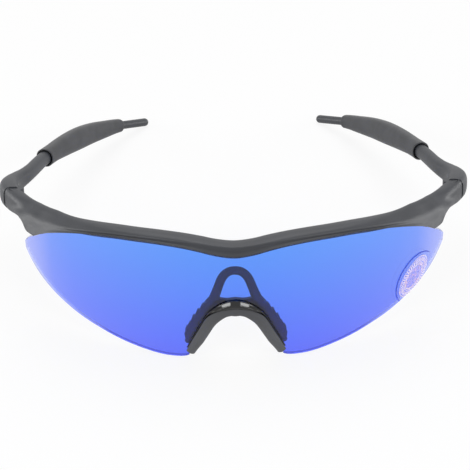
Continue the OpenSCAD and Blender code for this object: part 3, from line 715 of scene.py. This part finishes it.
# Gloss black ABS: polished mould, so it is nearly a black mirror with clean bright streaks, which
# waver a little over the 4 or 5 mm that such a moulding is uneven by
gloss_black, tree = new_material("polished_black_abs")
place = add(tree, "ShaderNodeTexCoord")
ripple = add(tree, "ShaderNodeTexNoise", {"Vector": place.outputs["Object"], "Scale": 220.0, "Detail": 1.0})
relief = add(tree, "ShaderNodeBump", {
    "Height": ripple.outputs["Fac"], "Strength": 0.015, "Distance": 0.0002})
skin = add(tree, "ShaderNodeBsdfPrincipled", {
    "Base Color": linear("#040405"), "Roughness": 0.07, "IOR": 1.5, "Normal": relief.outputs[0]})
add(tree, "ShaderNodeOutputMaterial", {"Surface": skin.outputs[0]})
finish_with(gloss_black, bracket)
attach(bracket, "front")
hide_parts("nose_bracket")


def stair(s):
    """The moulded steps down the wings' edges: a saw of four long teeth, then three small ones."""
    for start, end, pitch, tooth in ((0.42, 0.8, 0.095, 0.6), (0.8, 0.99, 0.06, 0.3)):
        if start <= abs(s) < end:
            return tooth * (1 - (abs(s) - start) / pitch % 1)
    return 0.0


def pad_ring(s):
    """The soft piece's section: the band in front, round the clip, out along the wing behind the
    shield and back, out to the pad's deep end and in again over the side that the nose touches."""
    a = abs(s)
    over, tail = crown(a), ease(0.86, 1, a)
    q0 = notch_q(a) + GROOVE_GAP + BRACKET_T + 0.08
    start, face, back = cover(a), -mix(1.15, 0.8, over), -0.58
    wing = -along(WING_LINE, a)[0] - stair(s) * (1 - over) + WING_IN
    slope, deep = mix(0.27, 0.22, over), PAD_DEPTH * mix(1, 0.62, over) - 1.6 * tail
    inner = nose_strip(a) - 0.45 * tail

    def nose_side(d):
        """The side that the nose touches, which leans out with depth and then curls."""
        return inner - slope * max(0, d - 1.5) - 0.04 * max(0, d - WING_1) ** 2

    return nose_ring(s, [
        (start, face), (start, back), (q0, back + 0.1), (q0, WING_0), (wing, WING_0),
        (wing + 0.15, WING_1), (nose_side(WING_1 + 0.9) - PAD_T, WING_1 + 0.9),
        (nose_side(deep) - PAD_T * 0.75, deep - 0.3), (nose_side(deep) - PAD_T * 0.2, deep),
        (nose_side(WING_1 + 1.2), WING_1 + 1.2), (nose_side(WING_1 + 0.1), WING_1 + 0.1),
        (nose_side(WING_0 + 0.6), WING_0 + 0.6), (nose_side(WING_0 + 0.15), WING_0 + 0.15),
        (inner, 0.7), (inner - 0.05, face + 0.3), (inner - 0.35, face - 0.1),
        (mix(start, inner, 0.5), face - 0.45 + 0.2 * over)])


# Stations stand close together on the legs, where the wings have their steps
leg_s = np.linspace(0.4, 1, 120)
pad_s = np.concatenate([-leg_s[::-1], np.linspace(-0.39, 0.39, 60), leg_s])
pad = shell("nose_pads", rounded([pad_ring(s) for s in pad_s], corners=set(range(6)), steps=4, nick=0.12),
            sharp=40)

# Loop: place, share of half width out, millimetres down from the top, share of strap width
LOOP_LINE = [(-0.2, -0.112, 0.31, 1), (0, 0, 0, 1), (0.2, 0.112, 0.31, 1), (0.36, 0.205, 1.3, 1),
             (0.5, 0.273, 2.8, 1), (0.68, 0.34, 5.4, 1), (0.88, 0.413, 8.6, 1.1),
             (1.02, 0.47, 11.0, 1.3), (1.16, 0.53, 13.2, 1.3)]


def loop_spot(s):
    row = along(LOOP_LINE, s)
    return np.array([NOSE_W * row[0], LOOP_TOP - LOOP_W / 2 - row[1]])


def loop_ring(s):
    a = abs(s)
    way = unit(loop_spot(a + 0.02) - loop_spot(a - 0.02))
    across = np.array([-way[1], way[0]])
    half = LOOP_W * along(LOOP_LINE, a)[2] / 2
    d0, d1 = WING_0 + 0.12, WING_1 - 0.12
    spots = np.array([(-half + 0.3, d0), (half - 0.3, d0), (half, d0 + 0.25), (half, d1 - 0.3),
                      (half - 0.35, d1), (-half + 0.35, d1), (-half, d1 - 0.3), (-half, d0 + 0.25)])
    x, h = (loop_spot(a) + spots[:, :1] * across).T
    return shield(plan_angle(x, h), h, spots[:, 1]) * (-1 if s < 0 else 1, 1, 1)


loop_rings = [loop_ring(s) for s in np.linspace(-LOOP_END, LOOP_END, 121)]
carve(pad, shell("loop", rounded(loop_rings, corners=set(), steps=3), sharp=60), "UNION")
smooth_over(pad, 40)

# Silicone rubber: satin and soft-looking, a little shinier than the socks; its colour is painted darker
# up over the crown and the loop and paler low down on the legs, painted shade for the clip's shadow and
# the shield in front of the loop; its fine tooth is drawn at half a millimetre
pad_rubber, tree = new_material("silicone_rubber")
place = add(tree, "ShaderNodeTexCoord")
tooth = add(tree, "ShaderNodeTexNoise", {"Vector": place.outputs["Object"], "Scale": 2200.0, "Detail": 2.0})
gloss = add(tree, "ShaderNodeMapRange", {0: tooth.outputs["Fac"], 1: 0.3, 2: 0.7, 3: 0.4, 4: 0.52})
axes = add(tree, "ShaderNodeSeparateXYZ", {0: place.outputs["Object"]})
# Painted shade: the colour darkens with height, over the crown under the clip and up the loop
rise = add(tree, "ShaderNodeMapRange", {0: axes.outputs["Z"], 1: 0.011, 2: 0.026})
tone = add(tree, "ShaderNodeValToRGB", {0: rise.outputs[0]},
           stops=[(0.0, linear("#525356")), (1.0, linear("#3A3B3E"))])
relief = add(tree, "ShaderNodeBump", {"Height": tooth.outputs["Fac"], "Strength": 0.1, "Distance": 0.0001})
skin = add(tree, "ShaderNodeBsdfPrincipled", {
    "Base Color": tone.outputs[0], "Roughness": gloss.outputs[0], "IOR": 1.43,
    "Normal": relief.outputs[0]})
add(tree, "ShaderNodeOutputMaterial", {"Surface": skin.outputs[0]})
finish_with(pad_rubber, pad)
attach(pad, "front")
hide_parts("nose_pad")


# Section: Label
# A round static label of clear film on the outer face, on the wearer's left, trimmed where it
# meets the shield's edge. It carries plain pale rings and a ring of small ticks, and no lettering.

LABEL_A = 46.0
LABEL_H = -9.9
LABEL_R = 8.6
LABEL_T = 0.14
LABEL_LIFT = 0.06
LABEL_RIM = 0.5
LABEL_LEAST = 0.5
PRINT_R = 7.4
PRINT_OVAL = 0.72
PRINT_ASIDE = 1.5
# The print is turned: the shares of east and north in its own two directions
PRINT_EAST, PRINT_NORTH = 0.74, 0.67


def label_spot(q, r):
    around = np.degrees(r * np.cos(np.radians(q)) / plan_r(LABEL_H))
    return LABEL_A + around, LABEL_H + r * np.sin(np.radians(q))


def label_reach(q):
    """How far out the film goes at the angle q before the shield's lower edge trims it."""
    for r in np.linspace(LABEL_R, LABEL_LEAST, 300):
        a, h = label_spot(q, r)
        if h > lens_low_h(a) + LABEL_RIM:
            return r
    return LABEL_LEAST


turns = np.arange(144) * 2.5
reach = np.array([label_reach(q) for q in turns])
shares = np.concatenate([[0.02], np.linspace(0.1, 1, 22)])
film_rings = [shield(*label_spot(turns, share * reach), -LABEL_LIFT - LABEL_T) for share in shares]
film_rings += [shield(*label_spot(turns, share * reach), -LABEL_LIFT) for share in shares[::-1]]
film = shell("round_label", np.array(film_rings), sharp=60)
# The print follows the label's own flat millimetres, turned as the print is and kept as its UV map
label_mid = shield(LABEL_A, LABEL_H, 0)
east = unit(shield(LABEL_A + 0.5, LABEL_H, 0) - label_mid)
north = unit(shield(LABEL_A, LABEL_H + 0.5, 0) - label_mid)
print_x = PRINT_EAST * east - PRINT_NORTH * north
print_y = PRINT_NORTH * east + PRINT_EAST * north
worn = (np.array([v.co for v in film.data.vertices]) * 1000 - SHIFT) @ TURN
flat_mm = np.stack([(worn - label_mid) @ print_x, (worn - label_mid) @ print_y], -1)
flat_map = film.data.uv_layers.new(name="flat_mm")
for corner in film.data.loops:
    flat_map.data[corner.index].uv = flat_mm[corner.vertex_index]

# Printed film: glossy and clear, so the shield's blue comes through; the print is pale lilac with
# pink patches, near white on its rings, and a dark blue band along the rim at the upper left is painted
# shadow of the film's edge
label_film, tree = new_material("printed_clear_film")
spot = add(tree, "ShaderNodeUVMap", uv_map="flat_mm")
shifted = add(tree, "ShaderNodeVectorMath", {0: spot.outputs[0], 1: (PRINT_ASIDE, 0, 0)}, operation="ADD")
printed = add(tree, "ShaderNodeVectorMath", {0: shifted.outputs[0], 1: (PRINT_OVAL, 1, 1)},
              operation="DIVIDE")
radius = add(tree, "ShaderNodeVectorMath", {0: printed.outputs[0]}, operation="LENGTH")
share = add(tree, "ShaderNodeMath", {0: radius.outputs["Value"], 1: PRINT_R}, operation="DIVIDE")
# Share of the print's radius, then how much the ink covers there, and below that its colour
COVER_LINE = [(0.0, 0.5), (0.5, 0.42), (0.53, 0.15), (0.54, 0.9), (0.575, 0.9), (0.585, 0.14),
              (0.61, 0.14), (0.62, 0.8), (0.65, 0.8), (0.66, 0.2), (0.88, 0.18), (0.9, 0.6),
              (0.94, 0.6), (0.96, 0.0)]
TINT_LINE = [(0.0, "#C8BCFF"), (0.5, "#CDC4FF"), (0.545, "#FAEEFF"), (0.65, "#FAEEFF"), (0.67, "#CDC4FC"),
             (0.88, "#CDC4FC"), (0.9, "#F8F0FF")]
thick = add(tree, "ShaderNodeValToRGB", {0: share.outputs[0]},
            stops=[(r, (v, v, v, 1)) for r, v in COVER_LINE])
tints = add(tree, "ShaderNodeValToRGB", {0: share.outputs[0]},
            stops=[(r, linear(code)) for r, code in TINT_LINE])
patches = add(tree, "ShaderNodeTexNoise", {"Vector": spot.outputs[0], "Scale": 0.9, "Detail": 3.0})
uneven = add(tree, "ShaderNodeMapRange", {0: patches.outputs["Fac"], 1: 0.35, 2: 0.65, 3: 0.4, 4: 1.2})
covered = add(tree, "ShaderNodeMath", {0: thick.outputs[0], 1: uneven.outputs[0]},
              operation="MULTIPLY", use_clamp=True)
blush = add(tree, "ShaderNodeMapRange", {0: patches.outputs["Fac"], 1: 0.48, 2: 0.62, 4: 0.7})
ink = add(tree, "ShaderNodeMix", {
    "Factor": blush.outputs[0], "A": tints.outputs[0], "B": linear("#F6CDE6")}, data_type="RGBA")
from_mid = add(tree, "ShaderNodeVectorMath", {0: spot.outputs[0]}, operation="LENGTH")
# Painted shadow: a dark blue band just inside the rim, opaque at the upper left and gone towards the right,
# where the film's edge would cast it
rim_shadow_band = add(tree, "ShaderNodeMapRange", {
    0: from_mid.outputs["Value"], 1: LABEL_R - 0.42, 2: LABEL_R - 0.22, 4: 0.9})
sides = add(tree, "ShaderNodeSeparateXYZ", {0: spot.outputs[0]})
shadow_side = add(tree, "ShaderNodeMapRange", {0: sides.outputs["X"], 1: -2.5, 2: 1.0, 3: 1.0, 4: 0.0})
painted_rim_shadow = add(tree, "ShaderNodeMath", {0: rim_shadow_band.outputs[0], 1: shadow_side.outputs[0]},
                operation="MULTIPLY")
# The painted shadow's dark blue, mixed in near the rim all round
shadow_blue_share = add(tree, "ShaderNodeMapRange", {
    0: from_mid.outputs["Value"], 1: LABEL_R - 0.7, 2: LABEL_R - 0.5})
colour = add(tree, "ShaderNodeMix", {
    "Factor": shadow_blue_share.outputs[0], "A": ink.outputs["Result"], "B": linear("#2440D0")}, data_type="RGBA")
body = add(tree, "ShaderNodeMath", {0: covered.outputs[0], 1: painted_rim_shadow.outputs[0]}, operation="MAXIMUM")
skin = add(tree, "ShaderNodeBsdfPrincipled", {
    "Base Color": colour.outputs["Result"], "Roughness": 0.12, "IOR": 1.5, "Alpha": body.outputs[0]})
add(tree, "ShaderNodeOutputMaterial", {"Surface": skin.outputs[0]})
finish_with(label_film, film)
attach(film, "front")
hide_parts("lens_label")

# White ink: screen printed, so it is matt and milky, with a faint speckle drawn at 0.3 mm
white_ink, tree = new_material("white_screen_ink")
place = add(tree, "ShaderNodeTexCoord")
speckle = add(tree, "ShaderNodeTexNoise", {"Vector": place.outputs["Object"], "Scale": 3000.0})
tone = add(tree, "ShaderNodeValToRGB", {0: speckle.outputs["Fac"]},
           stops=[(0.0, linear("#E6D4F6")), (1.0, linear("#F8EDFC"))])
skin = add(tree, "ShaderNodeBsdfPrincipled", {"Base Color": tone.outputs[0], "Roughness": 0.5})
add(tree, "ShaderNodeOutputMaterial", {"Surface": skin.outputs[0]})

# Ticks: short bars of ink in a ring, laid on the film by casting each centre down onto it from
# CAST_FROM millimetres off it
TICKS = 44
TICK_R = 5.75
TICK_L = 1.15
TICK_W = 0.37
TICK_T = 0.02
CAST_FROM = 3.0
ticks_tree = bpy.data.node_groups.new("ring_of_ticks", "GeometryNodeTree")
sockets = {}
for name, kind in (("Count", "Int"), ("Ring Radius", "Float"), ("Tick Size", "Vector"),
                   ("Ring Squash", "Vector"), ("Ring Place", "Vector"), ("Ring Turn", "Rotation"),
                   ("Film", "Object"), ("Ink", "Material")):
    made = ticks_tree.interface.new_socket(name, in_out="INPUT", socket_type="NodeSocket" + kind)
    sockets[name] = made.identifier
ticks_tree.interface.new_socket("Geometry", in_out="OUTPUT", socket_type="NodeSocketGeometry")
given = add(ticks_tree, "NodeGroupInput")
ring = add(ticks_tree, "GeometryNodeMeshCircle", {
    "Vertices": given.outputs["Count"], "Radius": given.outputs["Ring Radius"]})
facing = add(ticks_tree, "FunctionNodeRotateVector", {
    "Rotation": given.outputs["Ring Turn"], "Vector": (0, 0, 1)})
centre = add(ticks_tree, "GeometryNodeInputPosition")
marked = add(ticks_tree, "GeometryNodeTransform", {
    "Geometry": ring.outputs["Mesh"], "Translation": given.outputs["Ring Place"],
    "Rotation": given.outputs["Ring Turn"], "Scale": given.outputs["Ring Squash"]})
surface = add(ticks_tree, "GeometryNodeObjectInfo", {"Object": given.outputs["Film"]},
              transform_space="RELATIVE")
down = add(ticks_tree, "ShaderNodeVectorMath", {0: facing.outputs[0], "Scale": -1}, operation="SCALE")
hit = add(ticks_tree, "GeometryNodeRaycast", {
    "Target Geometry": surface.outputs["Geometry"], "Source Position": centre.outputs[0],
    "Ray Direction": down.outputs[0], "Ray Length": 0.02})
spoke = add(ticks_tree, "ShaderNodeVectorMath", {0: centre.outputs[0], 1: given.outputs["Ring Place"]},
            operation="SUBTRACT")
stand = add(ticks_tree, "FunctionNodeAlignRotationToVector", {"Vector": hit.outputs["Hit Normal"]},
            axis="Z")
point = add(ticks_tree, "FunctionNodeAlignRotationToVector", {
    "Rotation": stand.outputs[0], "Vector": spoke.outputs[0]}, axis="X", pivot_axis="Z")
kept_turn = add(ticks_tree, "GeometryNodeCaptureAttribute", {"Geometry": marked.outputs[0]})
kept_turn.capture_items.new("ROTATION", "turn")
kept_turn.capture_items.new("BOOLEAN", "found")
ticks_tree.links.new(point.outputs[0], kept_turn.inputs[1])
ticks_tree.links.new(hit.outputs["Is Hit"], kept_turn.inputs[2])
moved = add(ticks_tree, "GeometryNodeSetPosition", {
    "Geometry": kept_turn.outputs[0], "Position": hit.outputs["Hit Position"],
    "Selection": kept_turn.outputs[2]})
bar_mesh = add(ticks_tree, "GeometryNodeMeshCube", {
    "Size": given.outputs["Tick Size"], "Vertices X": 6, "Vertices Y": 2, "Vertices Z": 2})
placed = add(ticks_tree, "GeometryNodeInstanceOnPoints", {
    "Points": moved.outputs[0], "Selection": kept_turn.outputs[2], "Instance": bar_mesh.outputs["Mesh"],
    "Rotation": kept_turn.outputs[1]})
real = add(ticks_tree, "GeometryNodeRealizeInstances", {"Geometry": placed.outputs[0]})
inked = add(ticks_tree, "GeometryNodeSetMaterial", {
    "Geometry": real.outputs[0], "Material": given.outputs["Ink"]})
add(ticks_tree, "NodeGroupOutput", {"Geometry": inked.outputs[0]})

ticks = bpy.data.objects.new("label_ticks", bpy.data.meshes.new("label_ticks"))
bpy.context.collection.objects.link(ticks)
off_film = np.cross(east, north)
ring_z, ring_x = TURN @ unit(off_film), TURN @ unit(print_x)
ring_axes = np.stack([ring_x, np.cross(ring_z, ring_x), ring_z], -1)
maker = ticks.modifiers.new("ticks", "NODES")
maker.node_group = ticks_tree
for name, value in (("Count", TICKS), ("Ring Radius", TICK_R / 1000),
                    ("Tick Size", (TICK_L / 1000, TICK_W / 1000, TICK_T / 1000)),
                    ("Ring Squash", (PRINT_OVAL, 1, 1)),
                    ("Ring Place", tuple(laid(label_mid + CAST_FROM * off_film - PRINT_ASIDE * print_x))),
                    ("Ring Turn", tuple(Matrix([list(row) for row in ring_axes]).to_euler())),
                    ("Film", film), ("Ink", white_ink)):
    maker[sockets[name]] = value
settle(ticks)
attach(ticks, "front")


# Section: Table and light
# A plain white table top in an even white room. A big soft lamp overhead and behind lights the
# bar's crest, one box at each side fills in the arms, and two strips in front, one at each side,
# draw the bright streaks on the clip.

FLOOR_SIZE = 6.0
FLOOR_DROP = 0.0002
bpy.ops.mesh.primitive_plane_add(size=FLOOR_SIZE, location=(0, 0, -FLOOR_DROP))
floor = bpy.context.object
floor.name = "table_top"


def in_view(tree):
    """1 for what the camera sees, straight, mirrored or through the shield; 0 for bounced light."""
    path = add(tree, "ShaderNodeLightPath")
    seen = path.outputs["Is Camera Ray"]
    for way in ("Is Glossy Ray", "Is Transmission Ray"):
        seen = add(tree, "ShaderNodeMath", {0: seen, 1: path.outputs[way]}, operation="MAXIMUM").outputs[0]
    return seen


# Matt white paper: light bounces off it as off any paper, and what is seen of it is its own even
# glow, with the object's shadow left in
table_white, tree = new_material("matt_white_paper")
paper = add(tree, "ShaderNodeBsdfDiffuse", {"Color": linear("#E8E8E8")})
shade = add(tree, "ShaderNodeBsdfDiffuse", {"Color": linear("#666666")})
glow = add(tree, "ShaderNodeEmission", {"Color": (1, 1, 1, 1), "Strength": 0.855})
both = add(tree, "ShaderNodeAddShader", {0: shade.outputs[0], 1: glow.outputs[0]})
choice = add(tree, "ShaderNodeMixShader", {0: in_view(tree), 1: paper.outputs[0], 2: both.outputs[0]})
add(tree, "ShaderNodeOutputMaterial", {"Surface": choice.outputs[0]})
finish_with(table_white, floor)

ROOM_LIGHT = 0.32
room = bpy.data.worlds.new("white_room")
bpy.context.scene.world = room
room.use_nodes = True
tree = room.node_tree
tree.nodes.clear()
strength = add(tree, "ShaderNodeMapRange", {0: in_view(tree), 3: ROOM_LIGHT})
air = add(tree, "ShaderNodeBackground", {"Color": (1, 1, 1, 1), "Strength": strength.outputs[0]})
add(tree, "ShaderNodeOutputWorld", {"Surface": air.outputs[0]})


def stand_in(item, x, y, z, at):
    """Stands a lamp or the camera at a place, with its own three axes."""
    rows = np.stack([x, y, z, at], -1)
    item.matrix_world = Matrix([list(map(float, row)) for row in rows] + [[0, 0, 0, 1]])


# Lamp: place in metres, aimed point, size, roll in degrees, watts
LAMPS = [("overhead_softbox", (0.0, 0.3, 0.76), (0.0, 0.0, 0.02), (0.7, 0.7), 0, 3.0),
         ("left_softbox", (-0.8, 0.12, 0.14), (0.0, 0.0, 0.02), (0.46, 0.26), 0, 2.2),
         ("right_softbox", (0.8, 0.12, 0.14), (0.0, 0.0, 0.02), (0.46, 0.26), 0, 2.2),
         ("left_strip", (-0.518, -0.64, 0.486), (0.0, -0.07, 0.02), (0.62, 0.14), 27, 2.6),
         ("right_strip", (0.518, -0.64, 0.486), (0.0, -0.07, 0.02), (0.62, 0.14), -27, 2.6)]
for name, at, aim, size, roll, watts in LAMPS:
    lamp = bpy.data.lights.new(name, "AREA")
    lamp.shape, lamp.size, lamp.size_y, lamp.energy = "RECTANGLE", size[0], size[1], watts
    holder = bpy.data.objects.new(name, lamp)
    bpy.context.collection.objects.link(holder)
    back = unit(np.array(at) - np.array(aim))
    sideways = unit(np.cross((0, 0.001, 1), back))
    roll = math.radians(roll)
    wide = math.cos(roll) * sideways + math.sin(roll) * np.cross(back, sideways)
    stand_in(holder, wide, np.cross(back, wide), back, at)


# Section: Camera
# The photograph's viewpoint: straight on from the front, above the glasses, half a metre away.

VIEW_RISE = math.radians(23)
VIEW_ROLL = math.radians(-1.05)
VIEW_FROM = 450.0
# In the photograph's pixels: focal length, width, and where the shield's middle point lies
VIEW_F = 1619.6
IMAGE = 470
AIM_PIXEL = (235.3, 298.0)
SENSOR = 36

ahead = np.array([0, math.cos(VIEW_RISE), -math.sin(VIEW_RISE)])
level = np.array([1.0, 0, 0])
upright = np.cross(level, ahead)
right = math.cos(VIEW_ROLL) * level + math.sin(VIEW_ROLL) * upright
up = -math.sin(VIEW_ROLL) * level + math.cos(VIEW_ROLL) * upright
eye = -VIEW_FROM * (ahead + (AIM_PIXEL[0] - IMAGE / 2) / VIEW_F * right
                    - (AIM_PIXEL[1] - IMAGE / 2) / VIEW_F * up)
photo_view = bpy.data.cameras.new("photo_view")
photo_view.sensor_width = SENSOR
photo_view.lens = SENSOR * VIEW_F / IMAGE
photo_view.clip_start, photo_view.clip_end = 0.01, 20
camera = bpy.data.objects.new("photo_view", photo_view)
bpy.context.collection.objects.link(camera)
stand_in(camera, TURN @ right, TURN @ up, -(TURN @ ahead), laid(eye))
bpy.context.scene.camera = camera
bpy.context.scene.view_settings.view_transform = "Standard"
